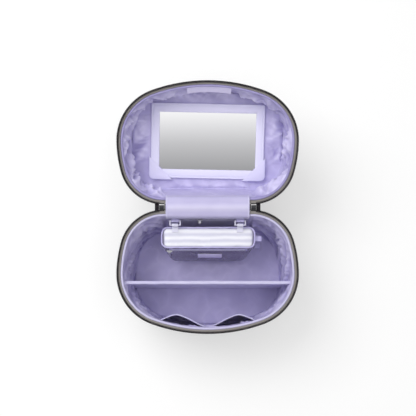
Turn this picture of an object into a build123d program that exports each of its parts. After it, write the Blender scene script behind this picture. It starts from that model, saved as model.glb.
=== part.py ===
from build123d import *
import math
import os

# Oval vanity case: a hard base and a hard lid, zipped round three sides and hinged at the back.
# Millimetres, +Z up, the front faces -Y. The origin is on the floor under the middle of the case.
# The lid is drawn like a second, shallower base and is then turned round the hinge to lie open.

# Overall sizes
half_width = 170.0
front_reach = 112.4
back_reach = 119.4
base_height = 150.0
lid_depth = 75.0
lid_open_tilt = 20.0
base_bottom = 0.0

# Plan outline, a closed run of tangent arcs
front_corner_radius = 0.893 * front_reach
flank_radius = 1.345 * half_width
back_corner_radius = 0.682 * back_reach

# Hinge line behind and above the rims
hinge_gap = 4.1
zip_half_height = 7.0

# Shells
wall = 2.6
shell_inset = 2.2
base_draft = 10.0
lid_draft = 10.0
bottom_radius = 14.0
corner_cut = 0.6

# Rim layers, measured inwards from the outline
tape_thickness = 1.5
tape_drop = 9.0
tape_rise = 2.6
coil_width = 3.2
coil_height = 3.4
trim_lap = 2.6
trim_rise = 1.6
leg_thickness = 1.8
leg_drop = 9.0
padding = 2.5
binding_width = 4.6
binding_drop = 4.0
binding_rise = 0.9
layer_gap = 0.1

# Inside the base
floor_pad_thickness = 4.0
divider_y = -20.0
divider_thickness = 5.0
divider_drop = 15.0
divider_binding_width = 7.0
divider_binding_height = 5.0
pocket_half_width = 99.0
pocket_crest_x = 60.0
pocket_crest_depth = 26.0
pocket_drop = 42.0
pocket_cloth = 1.6
elastic_width = 3.4
elastic_height = 8.0
rear_pocket_half_width = 78.0
rear_zip_drop = 28.0
rear_zip_half_width = 66.0
rear_tape_height = 13.0
rear_pocket_bottom = 34.0
rear_panel_thickness = 2.3
rear_tape_thickness = 1.1
teeth_width = 4.0
teeth_thickness = 1.3

# Rear pocket slider and its pull
slider_length = 10.0
slider_width = 8.0
slider_thickness = 3.4
rear_slider_x = -15.0
pull_length = 20.0
pull_width = 3.6
pull_thickness = 2.2
pull_neck = 6.0
neck_half = 0.5
lug_half = 2.4
lug_wall = 1.0
lug_slot_half = 0.8
lug_stand = 2.2
pin_length = 3.2

# Tabs and rings that hold the pouch
tab_x = (-62.0, 62.0)
tab_width = 15.0
tab_thickness = 1.8
tab_reach = 8.0
tab_plate_half = 4.0
ring_bar = 2.2
ring_length = 8.0
tab_drop = 17.0

# Clear pouch
pouch_left = -90.0
pouch_right = 92.0
pouch_drop = 27.0
pouch_height = 86.0
pouch_back_gap = 18.8
pouch_top_depth = 40.7
pouch_foot_depth = 60.0
pouch_corner = 8.0
piping_radius = 1.8
pouch_zip_height = 11.0
hook_width = 12.0
hook_thickness = 1.8
hook_leg = 4.0
hook_foot = 9.0
film_layer = 0.8
pouch_label_from = -20.0
pouch_label_to = 28.0
pouch_label_half = 12.0
loop_reach = 12.0
loop_half = 4.0
loop_thickness = 1.4

# Mirror and the corner pockets that hold it
mirror_length = 220.0
mirror_width = 146.0
glass_length = 187.0
glass_width = 111.0
frame_thickness = 4.3
glass_thickness = 1.8
back_board = 1.6
back_inset = 7.0
mirror_lift = 0.3
glass_lap = 1.5
mirror_corner = 11.0
mirror_reach = 117.0
mirror_skew = -1.2
corner_pocket_leg = 44.0

# Label on the lid's front wall
label_from = -45.0
label_to = 37.0
label_height = 19.0
label_drop = 6.0

# Carrying handle on the lid
handle_span = 118.0
handle_width = 24.0
handle_thickness = 7.0
handle_rise = 22.0
mount_length = 26.0
mount_height = 7.0
screw_radius = 3.2
screw_head = 1.6
screw_half_gap = 7.0
screw_inset = 7.0
mount_lap = 6.0
mount_floor = 3.0
mount_edge = 4.0

# Main zip sliders and pulls
main_slider_length = 9.0
main_pull_length = 26.0
main_pull_width = 7.0
main_pull_thickness = 2.4
pin_radius = 1.0
pin_fit = 0.05
moving_gap = 0.4

# Hinge cloths
strip_thickness = 1.2
cover_thickness = 1.4
cover_drop = 13.0

# Values that follow from the sizes above
outline_shift = (front_reach - back_reach) / 2
back_y = back_reach + outline_shift
front_y = outline_shift - front_reach
axis_y = back_y + hinge_gap
axis_z = base_height + zip_half_height
hinge_axis = Axis((0, axis_y, axis_z), (1, 0, 0))
turn_axis = Axis((0, axis_y, 0), (0, 0, 1))
trim_from = shell_inset
trim_to = trim_from + wall + trim_lap
lining_from = shell_inset + wall + leg_thickness + 2 * layer_gap
lining_to = lining_from + padding
lid_bottom = base_height - lid_depth
base_inner_floor = base_bottom + wall + layer_gap + padding
lid_inner_floor = lid_bottom + wall + layer_gap + padding
pad_top = base_inner_floor + layer_gap + floor_pad_thickness
tape_front = layer_gap + rear_tape_thickness
teeth_front = tape_front + layer_gap + teeth_thickness
film_front = layer_gap + film_layer
film_teeth = film_front + layer_gap + teeth_thickness


def outline_parts():
    """Centres, radii and angles of the right half of the plan outline."""
    across = half_width - front_corner_radius
    along = front_reach - front_corner_radius
    sweep = 2 * math.atan2(along, across)
    front_radius = front_corner_radius + across / math.sin(sweep)
    rise = math.asin((back_reach - back_corner_radius) / (flank_radius - back_corner_radius))
    corner_x = half_width - flank_radius + (flank_radius - back_corner_radius) * math.cos(rise)
    corner_y = back_reach - back_corner_radius
    return math.degrees(sweep), front_radius, math.degrees(rise), corner_x, corner_y


flat_back_half = outline_parts()[3]
hinge_half = flat_back_half - 3.0
main_slider_x = hinge_half + 6.0


def plan(inset, z):
    """The plan outline drawn inwards by inset, as a face at height z."""
    sweep, front_radius, rise, corner_x, corner_y = outline_parts()
    front_centre = front_radius - front_reach
    edges = [CenterArc((0, front_centre), front_radius - inset, -90 - sweep, 2 * sweep)]
    corner = front_corner_radius - inset
    edges.append(CenterArc((half_width - front_corner_radius, 0), corner, sweep - 90, 90 - sweep))
    edges.append(CenterArc((half_width - flank_radius, 0), flank_radius - inset, 0, rise))
    edges.append(CenterArc((corner_x, corner_y), back_corner_radius - inset, rise, 90 - rise))
    back = back_reach - inset
    edges.append(Line((corner_x, back), (-corner_x, back)))
    edges.append(CenterArc((-corner_x, corner_y), back_corner_radius - inset, 90, 90 - rise))
    edges.append(CenterArc((flank_radius - half_width, 0), flank_radius - inset, 180 - rise, rise))
    edges.append(CenterArc((front_corner_radius - half_width, 0), corner, 180, 90 - sweep))
    return Pos(0, outline_shift, z) * make_face(edges)


def plug(stations):
    """A solid through the plan outline at each (inset, height)."""
    return loft([plan(inset, z) for inset, z in stations], ruled=True)


def band(outer, inner, low, high):
    """An upright ring between two insets and two heights."""
    return plug([(outer, low), (outer, high)]) - plug([(inner, low - 1), (inner, high + 1)])


def box(x0, x1, y0, y1, z0, z1):
    """A box from its limits."""
    return Pos((x0 + x1) / 2, (y0 + y1) / 2, (z0 + z1) / 2) * Box(x1 - x0, y1 - y0, z1 - z0)


def lean(inset, z, bottom, draft):
    """Inset at height z of a wall that has the given inset at the rim and leans in below it."""
    return inset + draft * (base_height - z) / (base_height - bottom)


def leaning_plug(inset, low, high, bottom, draft):
    """The space inside a leaning wall between two heights."""
    return plug([(lean(inset, z, bottom, draft), z) for z in (low, high)])


def on_wall(region, near, far, bottom, draft):
    """A layer lying on the inner wall between two distances from the lining, inside a region."""
    low = region.bounding_box().min.Z - 1
    high = region.bounding_box().max.Z + 1
    outer = leaning_plug(lining_to + near, low, high, bottom, draft)
    inner = leaning_plug(lining_to + far, low - 1, high + 1, bottom, draft)
    return region & (outer - inner)


def to_lid(shape):
    """Turns a shape drawn over the base round to the lid's open place behind the hinge."""
    return shape.rotate(turn_axis, 180).rotate(hinge_axis, lid_open_tilt)


def rim_loop_cut(half):
    """The length of the back where the zip is left out."""
    return box(-half, half, axis_y - 20, axis_y + 5, 0, base_height + 20)


def lowest_edges(shape):
    """The loop of edges round a shape's lowest face."""
    return shape.faces().sort_by(Axis.Z)[0].edges()


def highest_edges(shape):
    """The loops of edges round a shape's highest face."""
    return shape.faces().sort_by(Axis.Z)[-1].edges()


def shell(bottom, draft):
    """Moulded cup with leaning walls and a rounded bottom edge."""
    top = base_height - 1
    outer = leaning_plug(shell_inset, bottom, top, bottom, draft)
    outer = fillet(lowest_edges(outer), bottom_radius)
    return outer - cup_space(shell_inset + wall, bottom + wall, top + 1, bottom, draft, bottom_radius - wall)


def cup_space(inset, low, high, bottom, draft, corner):
    """The space inside a leaning cup whose bottom corner is cut off at a slope."""
    cut = corner * corner_cut
    bevel = lean(inset, low + cut, bottom, draft)
    return plug([(bevel + cut, low), (bevel, low + cut), (lean(inset, high, bottom, draft), high)])


def base_shell():
    """The base's shell, flat underneath to stand on."""
    return shell(base_bottom, base_draft)


def lid_shell():
    """The lid's shell."""
    return shell(lid_bottom, lid_draft)


def rim_trim(bottom, draft):
    """Moulded trim that caps the shell's edge and runs down inside it."""
    low = base_height - 1 + layer_gap
    cap = band(trim_from, trim_to, low, base_height + trim_rise)
    reach = shell_inset + wall + layer_gap
    leg_low = base_height - leg_drop
    leg = leaning_plug(reach, leg_low, low + 0.5, bottom, draft)
    leg -= leaning_plug(reach + leg_thickness, leg_low - 1, low + 2, bottom, draft)
    return cap + leg


def zip_tape():
    """Woven zip tape fixed round the outside of the shell's edge."""
    outer = shell_inset - tape_thickness - layer_gap
    tape = band(outer, outer + tape_thickness, base_height - tape_drop, base_height + tape_rise)
    return tape - rim_loop_cut(hinge_half + 1)


def zip_coil():
    """Zip coil standing on the tape's edge."""
    low = base_height + tape_rise + layer_gap
    coil = band(0, coil_width, low, low + coil_height)
    return coil - rim_loop_cut(main_slider_x + main_slider_length / 2 + moving_gap)


def lining(bottom, draft):
    """Padded cloth cup inside the shell."""
    top = base_height - binding_drop - layer_gap
    low = bottom + wall + layer_gap
    corner = bottom_radius - wall
    outer = cup_space(lining_from, low, top, bottom, draft, corner)
    return outer - cup_space(lining_to, low + padding, top + 1, bottom, draft, corner - padding)


def binding():
    """Rounded binding sewn over the lining's top edge."""
    start = trim_to + layer_gap
    return band(start, start + binding_width, base_height - binding_drop, base_height + binding_rise)


def floor_pad():
    """Loose padded board on the floor of the base."""
    low = base_inner_floor + layer_gap
    return leaning_plug(lining_to + bottom_radius, low, pad_top, base_bottom, base_draft)


def inside_base(low, high):
    """The clear space inside the base's lining."""
    return leaning_plug(lining_to + layer_gap, low, high, base_bottom, base_draft)


def divider_panel():
    """Padded panel across the base that parts it into two bays."""
    top = base_height - divider_drop - divider_binding_height
    half = divider_thickness / 2
    slab = box(-half_width, half_width, divider_y - half, divider_y + half, pad_top + layer_gap, top)
    slab -= floor_corner()
    return slab & inside_base(0, base_height)


def floor_corner():
    """The cut corner between the lining's wall and floor, which nothing else enters."""
    high = base_inner_floor + bottom_radius
    ring = plug([(0, base_inner_floor - 1), (0, high)])
    inset = lean(lining_to, high, base_bottom, base_draft) + layer_gap
    return ring - plug([(inset + bottom_radius + 1, base_inner_floor - 1), (inset, high)])


def divider_binding():
    """Rolled binding along the divider's top edge."""
    high = base_height - divider_drop
    low = high - divider_binding_height + layer_gap
    half = divider_binding_width / 2
    strip = box(-half_width, half_width, divider_y - half, divider_y + half, low, high)
    return fillet(strip.edges().filter_by(Axis.X), 2.0) & inside_base(0, base_height)


def pocket_line():
    """Plan line of the two front pockets, from the wall out to a crest and back, twice."""
    top_inset = lean(lining_to, base_height - pocket_drop, base_bottom, base_draft)
    wall_y = front_y + top_inset + pocket_cloth
    crest_y = wall_y + pocket_crest_depth
    end_y = wall_y + pocket_crest_depth / 3
    points = [(-pocket_half_width, end_y), (-pocket_crest_x, crest_y), (0, wall_y)]
    points += [(pocket_crest_x, crest_y), (pocket_half_width, end_y)]
    return FilletPolyline(*points, radius=pocket_crest_depth)


def pocket_space():
    """Where the front pockets may be, off the wall and off the floor's rounded corner."""
    return inside_base(0, base_height) - floor_corner()


def front_pockets():
    """One cloth panel sewn down at the ends and the middle to make two pockets."""
    top = base_height - pocket_drop - elastic_height
    sheet = Pos(0, 0, pad_top + layer_gap) * trace(pocket_line(), pocket_cloth)
    return extrude(sheet, top - pad_top - 2 * layer_gap) & pocket_space()


def front_pocket_elastic():
    """Elastic gathered into the pockets' top edge."""
    low = base_height - pocket_drop - elastic_height
    sheet = Pos(0, 0, low) * trace(pocket_line(), elastic_width)
    return extrude(sheet, elastic_height) & pocket_space()


def rear_patch(half, low, high, near, far):
    """A layer on the base's back wall."""
    region = box(-half, half, 0, axis_y, low, high)
    return on_wall(region, near, far, base_bottom, base_draft)


def rear_pocket():
    """Flat pocket panel sewn to the back wall under the inner zip."""
    high = base_height - rear_zip_drop - rear_tape_height / 2
    return rear_patch(rear_pocket_half_width, rear_pocket_bottom, high, layer_gap, layer_gap + rear_panel_thickness)


def rear_zip_tape():
    """Tape of the inner zip."""
    middle = base_height - rear_zip_drop
    low = middle - rear_tape_height / 2 + layer_gap
    return rear_patch(rear_pocket_half_width, low, middle + rear_tape_height / 2, layer_gap, tape_front)


def rear_zip_teeth():
    """Closed coil of the inner zip."""
    middle = base_height - rear_zip_drop
    half = teeth_width / 2
    return rear_patch(rear_zip_half_width, middle - half, middle + half, tape_front + layer_gap, teeth_front)


def rear_slider():
    """Slider that runs on the inner zip, with a lug for its pull."""
    middle = base_height - rear_zip_drop
    low = middle - slider_width / 2
    region = box(-slider_length / 2, slider_length / 2, 0, axis_y, low, low + slider_width)
    near = teeth_front + moving_gap
    body = on_wall(region, near, near + slider_thickness, base_bottom, base_draft)
    pin_y = rear_pin_y()
    lug_depth = lug_slot_half + lug_wall
    lug = box(-lug_half, lug_half, pin_y - lug_depth, pin_y + lug_stand + 0.6, middle - lug_half, middle + lug_half)
    slot_low = middle - lug_half - 1
    slot = box(-lug_half - 1, lug_half + 1, pin_y - lug_slot_half, pin_y + lug_slot_half, slot_low, middle + 1.4)
    hole = Pos(0, pin_y, middle) * Rot(90, 0, 0) * Cylinder(pin_radius + pin_fit, 10)
    return Pos(rear_slider_x, 0, 0) * (body + (lug - slot - hole))


def rear_pin_y():
    """Where the pull's pin lies in front of the inner zip's slider."""
    middle = base_height - rear_zip_drop
    face = lean(lining_to, middle, base_bottom, base_draft) + teeth_front + moving_gap + slider_thickness
    return back_y - face - lug_stand


def rear_pull():
    """Pull of the inner zip's slider: a pin, a neck and a corded end."""
    middle = base_height - rear_zip_drop
    pin = Rot(90, 0, 0) * Cylinder(pin_radius, pin_length)
    neck = box(-pin_radius, pin_radius, -neck_half, neck_half, -pull_neck, 0)
    half = pull_width / 2
    tag = box(-half, half, -pull_thickness / 2, pull_thickness / 2, -pull_length, 1 - pull_neck)
    tag = chamfer(tag.edges().filter_by(Axis.Z), 0.6)
    return Pos(rear_slider_x, rear_pin_y(), middle) * (pin + neck + tag)


def wall_face_y(z):
    """Where the base's back lining faces the inside at height z."""
    return back_y - lean(lining_to, z, base_bottom, base_draft)


def pouch_tabs():
    """Two webbing tabs sewn above the inner zip, each folded round a ring."""
    level = base_height - tab_drop
    eye_y = tab_eye_y()
    wall_y = wall_face_y(level)
    half = tab_thickness / 2
    strap = box(-tab_width / 2, tab_width / 2, eye_y, wall_y - 1.2, level - half, level + half)
    eye = Pos(0, eye_y, level) * Rot(0, 90, 0) * Cylinder(ring_bar / 2 + tab_thickness, tab_width)
    hole = Pos(0, eye_y, level) * Rot(0, 90, 0) * Cylinder(ring_bar / 2 + layer_gap, tab_width + 2)
    plate = box(-tab_width / 2, tab_width / 2, wall_y - 2.0, wall_y - 0.5, level - 4, level + 4)
    tab = strap + eye + plate - hole
    return Compound(children=[Pos(x, 0, 0) * tab for x in tab_x])


def tab_eye_y():
    """Where a ring's back bar passes through its tab."""
    return wall_face_y(base_height - tab_drop) - tab_reach


def tab_rings():
    """Two rectangular rings with round bars and flat cheeks, hanging from the tabs."""
    level = base_height - tab_drop
    back = tab_eye_y()
    half = tab_width / 2 + ring_bar
    front = back - ring_length
    radius = ring_bar / 2
    across = Rot(0, 90, 0) * Cylinder(radius, 2 * half + ring_bar)
    cheek = Box(ring_bar, ring_length, ring_bar * 0.8)
    ring = Pos(0, back, level) * across + Pos(0, front, level) * across
    for x in (-half, half):
        ring += Pos(x, (back + front) / 2, level) * cheek
    return Compound(children=[Pos(x, 0, 0) * ring for x in tab_x])


def pouch_sizes():
    """Top, bottom, back and front lines of the pouch."""
    top = base_height - pouch_drop
    back = wall_face_y(base_height) - pouch_back_gap
    return top, top - pouch_height, back, back - pouch_top_depth, back - pouch_foot_depth


def pouch_body():
    """Soft clear pouch, deeper at its foot than at its top."""
    top, bottom, back, front, foot = pouch_sizes()
    side = Polyline((back, bottom), (foot, bottom), (front, top), (back, top), close=True)
    face = Plane((0, 0, 0), x_dir=(0, 1, 0), z_dir=(1, 0, 0)) * make_face(side)
    body = Pos(pouch_left, 0, 0) * extrude(face, pouch_right - pouch_left)
    body = fillet(body.faces().filter_by(Axis.X).edges(), pouch_corner / 2)
    return body


def pouch_front(z, out):
    """Distance back to front at height z on the pouch's sloping face, held off it by out."""
    top, bottom, back, front, foot = pouch_sizes()
    return front + (foot - front) * (top - z) / (top - bottom) - out


def pouch_layer(x0, x1, low, high, near, far):
    """A layer on the pouch's sloping front face."""
    points = [(pouch_front(low, near), low), (pouch_front(low, far), low)]
    points += [(pouch_front(high, far), high), (pouch_front(high, near), high)]
    face = Plane((0, 0, 0), x_dir=(0, 1, 0), z_dir=(1, 0, 0)) * make_face(Polyline(points, close=True))
    return Pos(x0, 0, 0) * extrude(face, x1 - x0)


def pouch_piping():
    """Piping along the pouch's top front edge."""
    top, bottom, back, front, foot = pouch_sizes()
    length = pouch_right - pouch_left - 2 * pouch_corner
    roll = Rot(0, 90, 0) * Cylinder(piping_radius, length)
    middle = (pouch_left + pouch_right) / 2
    return Pos(middle, front - 0.6, top + piping_radius - 0.6) * roll - pouch_body()


def pouch_zip_span():
    """Ends of the pouch's zip."""
    return pouch_left + 6, pouch_right - 6


def pouch_zip_tape():
    """Tape of the pouch's zip on its sloping front."""
    high = pouch_sizes()[0] - 4
    x0, x1 = pouch_zip_span()
    return pouch_layer(x0, x1, high - pouch_zip_height, high, layer_gap, film_front)


def pouch_zip_teeth():
    """Closed coil of the pouch's zip."""
    high = pouch_sizes()[0] - 4
    middle = high - pouch_zip_height / 2
    x0, x1 = pouch_zip_span()
    half = teeth_width / 2
    return pouch_layer(x0 + 4, x1 - 4, middle - half, middle + half, film_front + layer_gap, film_teeth)


def pouch_slider():
    """Slider on the pouch's zip with its pull lying down the front."""
    high = pouch_sizes()[0] - 4
    middle = high - pouch_zip_height / 2
    x0 = pouch_zip_span()[0] + 6
    near = film_teeth + moving_gap
    body = pouch_layer(x0, x0 + slider_length, middle - 4, middle + 4, near, near + 3)
    pull = pouch_layer(x0 + 3, x0 + 7, middle - pull_length, middle + 1, near + 2.5, near + 4.3)
    return fillet(body.edges().filter_by(Axis.X), 0.8) + pull


def pouch_label():
    """Bare cloth label sewn on the pouch's front."""
    top, bottom, back, front, foot = pouch_sizes()
    middle = (top + bottom) / 2
    half = pouch_label_half
    return pouch_layer(pouch_label_from, pouch_label_to, middle - half, middle + half, layer_gap, film_front)


def pouch_loops():
    """Two folded ribbon loops at the pouch's right end."""
    top, bottom, back, front, foot = pouch_sizes()
    loops = []
    for z in (top - 12, bottom + 14):
        middle_y = (back + pouch_front(z, 0)) / 2
        outer = box(0, loop_reach, middle_y - 5, middle_y + 5, z - loop_half, z + loop_half)
        outer = fillet(outer.edges().filter_by(Axis.Y), 3.0)
        inner_half = loop_half - loop_thickness
        inner = box(-1, loop_reach - loop_thickness, middle_y - 6, middle_y + 6, z - inner_half, z + inner_half)
        loops.append(Pos(pouch_right + layer_gap, 0, 0) * (outer - inner))
    return Compound(children=loops)


def pouch_hooks():
    """Two hooks that open downwards over the front bars of the tab rings."""
    top, bottom, back, front, foot = pouch_sizes()
    level = base_height - tab_drop
    bar_y = tab_eye_y() - ring_length
    inner = ring_bar / 2 + moving_gap
    outer = inner + hook_thickness
    half = hook_width / 2
    cap = Rot(0, 90, 0) * Cylinder(outer, hook_width)
    cap += box(-half, half, -outer, outer, -hook_leg, 0)
    cap += box(-half, half, -outer, -inner, top - level + layer_gap, 0)
    cap -= Rot(0, 90, 0) * Cylinder(inner, hook_width + 2)
    cap -= box(-half - 1, half + 1, -inner, inner, -hook_leg - 2, 0)
    low = top - level + layer_gap
    foot_plate = box(-half, half, -outer - hook_foot, -inner, low, low + hook_thickness)
    hook = Pos(0, bar_y, level) * (cap + foot_plate)
    return Compound(children=[Pos(x, 0, 0) * hook for x in tab_x])


def mirror_place(shape):
    """Lays a shape drawn at the mirror's middle on the lid's floor, slightly askew."""
    middle = axis_y - mirror_reach
    return to_lid(Pos(0, middle, lid_inner_floor + mirror_lift) * Rot(0, 0, mirror_skew) * shape)


def slab(length, width, radius, low, high):
    """A flat rounded rectangle between two heights."""
    return Pos(0, 0, low) * extrude(RectangleRounded(length, width, radius), high - low)


def mirror_back():
    """Board behind the mirror's glass."""
    return slab(mirror_length - 2 * back_inset, mirror_width - 2 * back_inset, mirror_corner, 0, back_board)


def mirror_glass():
    """Mirror glass, held under the frame's lip."""
    low = back_board + layer_gap
    lap = glass_lap - layer_gap
    return slab(glass_length + 2 * lap, glass_width + 2 * lap, 2.0, low, low + glass_thickness)


def mirror_frame():
    """Padded frame with a rebate for the glass."""
    low = back_board + layer_gap
    frame = slab(mirror_length, mirror_width, mirror_corner, low, low + frame_thickness)
    frame = chamfer(highest_edges(frame), 1.2)
    rebate = low + glass_thickness + layer_gap
    frame -= slab(glass_length, glass_width, 1.5, low - 1, low + frame_thickness + 1)
    return frame - slab(glass_length + 2 * glass_lap, glass_width + 2 * glass_lap, 2.1, low - 1, rebate)


def mirror_pockets():
    """Two cloth corners sewn to the lid's floor that hold the mirror's lower corners."""
    over = back_board + layer_gap + frame_thickness + 2 * moving_gap
    x_in = mirror_length / 2 + moving_gap
    y_in = mirror_width / 2 + moving_gap
    x_out = x_in + pocket_cloth
    y_out = y_in + pocket_cloth
    near_x = x_out - corner_pocket_leg
    near_y = y_out - corner_pocket_leg
    points = [(x_out, near_y), (x_out, y_out - 6), (x_out - 6, y_out), (near_x, y_out)]
    plate = Pos(0, 0, over) * extrude(make_face(Polyline(points, close=True)), pocket_cloth)
    side = box(x_in, x_out, near_y, y_out - 6, -0.2, over + 0.2)
    end = box(near_x, x_out - 6, y_in, y_out, -0.2, over + 0.2)
    right = plate + side + end
    return Compound(children=[right, right.mirror(Plane.YZ)])


def lid_label():
    """Bare satin label sewn to the lid's front wall."""
    high = base_height - label_drop
    region = box(label_from, label_to, front_y - 5, 0, high - label_height, high)
    return on_wall(region, layer_gap, 0.9, lid_bottom, lid_draft)


def handle_grip():
    """Padded strap handle in a low arch, its ends lying in the mounts."""
    half = handle_span / 2
    low = lid_bottom - mount_height / 2
    points = [(-half, low), (-half * 0.72, low - handle_rise * 0.72), (0, low - handle_rise)]
    points += [(half * 0.72, low - handle_rise * 0.72), (half, low)]
    line = FilletPolyline(*points, radius=handle_rise)
    face = Plane((0, 0, 0), x_dir=(1, 0, 0), z_dir=(0, -1, 0)) * trace(line, handle_thickness)
    grip = extrude(face, handle_width / 2, both=True)
    keep = box(-half_width, half_width, -handle_width, handle_width, 0, lid_bottom - 1.2)
    return Pos(0, handle_y(), 0) * (grip & keep)


def handle_y():
    """Where the handle crosses the lid, above its middle."""
    return outline_shift + (back_reach - front_reach) / 2


def handle_mounts():
    """Two moulded end caps screwed to the lid over the handle's ends."""
    half = handle_span / 2
    cap_half = handle_width / 2 + mount_edge
    cap = box(0, mount_length, -cap_half, cap_half, -mount_height - mount_floor, -layer_gap)
    cap = fillet(cap.faces().sort_by(Axis.Z)[0].edges(), 2.5)
    cap = Pos(half - mount_lap, handle_y(), lid_bottom) * cap
    cap -= handle_grip()
    return Compound(children=[cap, cap.mirror(Plane.YZ)])


def handle_screws():
    """Four pan-head screws, two in each handle mount."""
    x = handle_span / 2 - mount_lap + mount_length - screw_inset
    z = lid_bottom - mount_height - mount_floor - screw_head / 2 - layer_gap
    screws = []
    for side in (-1, 1):
        for y in (-screw_half_gap, screw_half_gap):
            screws.append(Pos(side * x, handle_y() + y, z) * Cylinder(screw_radius, screw_head))
    return Compound(children=screws)


def main_sliders():
    """Two round sliders parked at the ends of the main zip, on the hinge line."""
    radius = hinge_gap - moving_gap
    barrel = Rot(0, 90, 0) * Cylinder(radius, main_slider_length)
    top = base_height + tape_rise + layer_gap
    neck = box(-main_slider_length / 2, main_slider_length / 2, -hinge_gap - 1.5, 0, top - axis_z, -1.2)
    pin_z = -radius - lug_half
    lug_depth = lug_slot_half + lug_wall
    lug = box(-lug_half, lug_half, -lug_depth, lug_depth, pin_z - lug_stand, -radius / 2)
    slot_high = 0.2 - radius
    slot = box(-lug_half - 1, lug_half + 1, -lug_slot_half, lug_slot_half, pin_z - lug_stand - 1, slot_high)
    hole = Pos(0, 0, pin_z) * Rot(90, 0, 0) * Cylinder(pin_radius + pin_fit, 10)
    slider = barrel + neck + lug - slot - hole
    return Compound(children=[Pos(side * main_slider_x, axis_y, axis_z) * slider for side in (-1, 1)])


def main_pull(side):
    """Pull tab of one main slider, hanging on its pin."""
    pin_z = -(hinge_gap - moving_gap) - lug_half
    pin = Rot(90, 0, 0) * Cylinder(pin_radius, pin_length)
    neck = box(-1.4, 1.4, -neck_half, neck_half, -7, 0)
    half = main_pull_width / 2
    thick = main_pull_thickness / 2
    tag = box(-half, half, -thick, thick, -main_pull_length, -6)
    tag = fillet(tag.edges().filter_by(Axis.Y), 2.0)
    return Pos(side * main_slider_x, axis_y, axis_z + pin_z) * (pin + neck + tag)


def lid_point(y, z):
    """A point of the lid's own drawing as it lies with the lid open, in the Y-Z plane."""
    turned_y = axis_y - y
    turned_z = z - axis_z
    tilt = math.radians(lid_open_tilt)
    return (axis_y + turned_y * math.cos(tilt) - turned_z * math.sin(tilt),
            axis_z + turned_y * math.sin(tilt) + turned_z * math.cos(tilt))


def cloth_over(points, thickness, half):
    """A strip of cloth as wide as the hinge that follows points in the Y-Z plane."""
    line = FilletPolyline(*points, radius=hinge_gap / 2)
    face = Plane((0, 0, 0), x_dir=(0, 1, 0), z_dir=(1, 0, 0)) * trace(line, thickness)
    return extrude(face, half, both=True)


def hinge_strip():
    """Outer hinge cloth from the base's back wall over to the lid's."""
    out = back_y - shell_inset + tape_thickness / 2 + 0.6
    low = base_height - tape_drop
    points = [(out, low), (out, base_height - 1), (axis_y + 1.1, axis_z - 0.6)]
    points += [lid_point(out, base_height - 1), lid_point(out, low)]
    return cloth_over(points, strip_thickness, hinge_half)


def hinge_cover():
    """Inner hinge cloth from the base's lining over both rims to the lid's lining."""
    inside = back_y - trim_to - binding_width - layer_gap - 2.1
    side = [(inside, base_height - cover_drop), (inside, base_height - 1.5)]
    side += [(inside + 2.2, base_height + 3.0), (back_y - 5.0, base_height + 6.0)]
    points = side + [(axis_y, axis_z + 2.6)] + [lid_point(y, z) for y, z in reversed(side)]
    return cloth_over(points, cover_thickness, hinge_half)


os.makedirs("parts", exist_ok=True)

export_step(base_shell(), "parts/base_shell.step")
export_step(rim_trim(base_bottom, base_draft), "parts/base_rim.step")
export_step(zip_tape(), "parts/base_zip_tape.step")
export_step(zip_coil(), "parts/base_zip_coil.step")
export_step(lining(base_bottom, base_draft), "parts/base_lining.step")
export_step(binding(), "parts/base_binding.step")
export_step(floor_pad(), "parts/base_floor_pad.step")
export_step(divider_panel(), "parts/divider_panel.step")
export_step(divider_binding(), "parts/divider_binding.step")
export_step(front_pockets(), "parts/front_pockets.step")
export_step(front_pocket_elastic(), "parts/front_pocket_elastic.step")
export_step(rear_pocket(), "parts/rear_pocket.step")
export_step(rear_zip_tape(), "parts/rear_zip_tape.step")
export_step(rear_zip_teeth(), "parts/rear_zip_teeth.step")
export_step(rear_slider(), "parts/rear_slider.step")
export_step(rear_pull(), "parts/rear_pull.step")
export_step(pouch_tabs(), "parts/pouch_tabs.step")
export_step(tab_rings(), "parts/tab_rings.step")
export_step(pouch_body(), "parts/pouch_body.step")
export_step(pouch_piping(), "parts/pouch_piping.step")
export_step(pouch_zip_tape(), "parts/pouch_zip_tape.step")
export_step(pouch_zip_teeth(), "parts/pouch_zip_teeth.step")
export_step(pouch_slider(), "parts/pouch_slider.step")
export_step(pouch_label(), "parts/pouch_label.step")
export_step(pouch_loops(), "parts/pouch_loops.step")
export_step(pouch_hooks(), "parts/pouch_hooks.step")
export_step(to_lid(lid_shell()), "parts/lid_shell.step")
export_step(to_lid(rim_trim(lid_bottom, lid_draft)), "parts/lid_rim.step")
export_step(to_lid(zip_tape()), "parts/lid_zip_tape.step")
export_step(to_lid(zip_coil()), "parts/lid_zip_coil.step")
export_step(to_lid(lining(lid_bottom, lid_draft)), "parts/lid_lining.step")
export_step(to_lid(binding()), "parts/lid_binding.step")
export_step(to_lid(lid_label()), "parts/lid_label.step")
export_step(to_lid(handle_grip()), "parts/handle_grip.step")
export_step(to_lid(handle_mounts()), "parts/handle_mounts.step")
export_step(to_lid(handle_screws()), "parts/handle_screws.step")
export_step(mirror_place(mirror_back()), "parts/mirror_back.step")
export_step(mirror_place(mirror_glass()), "parts/mirror_glass.step")
export_step(mirror_place(mirror_frame()), "parts/mirror_frame.step")
export_step(mirror_place(mirror_pockets()), "parts/mirror_pockets.step")
export_step(main_sliders(), "parts/main_sliders.step")
export_step(main_pull(-1), "parts/main_pull_left.step")
export_step(main_pull(1), "parts/main_pull_right.step")
export_step(hinge_strip(), "parts/hinge_strip.step")
export_step(hinge_cover(), "parts/hinge_cover.step")
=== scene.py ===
from math import asin, atan2, cos, dist, hypot, pi, radians, sin, sqrt

import bpy
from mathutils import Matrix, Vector, noise


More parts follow.
